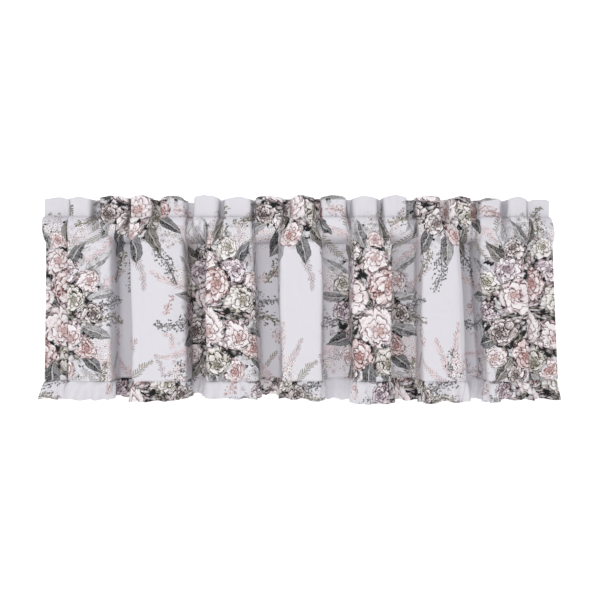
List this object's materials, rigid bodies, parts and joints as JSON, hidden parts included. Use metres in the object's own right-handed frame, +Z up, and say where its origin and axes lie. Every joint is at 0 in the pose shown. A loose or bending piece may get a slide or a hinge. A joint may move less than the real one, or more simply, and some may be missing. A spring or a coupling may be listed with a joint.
{
  "type": "window valance",
  "caption": "Rod-pocket window valance in flowered cloth, gathered into soft folds, with a frilled heading and a gathered ruffle along the hem.",
  "frame": {"origin": "middle of the top edge, where the heading is held", "axes": "+X along the valance to the right as seen from the room, -Y towards the room, +Z up"},
  "size_m": [1.1759, 0.0915, 0.4649],
  "materials": {
    "heading_cloth": "matt plain-woven cloth printed with flowers, gathered on a rod pocket",
    "panel_cloth": "matt plain-woven cloth printed with flowers in dusty pink, sage and grey on off-white",
    "ruffle_cloth": "matt plain-woven cloth of the same print, gathered onto the hem"
  },
  "bodies": {
    "root": {"heading": "heading_cloth", "panel": "panel_cloth", "hem_ruffle": "ruffle_cloth"}
  },
  "joints": []
}
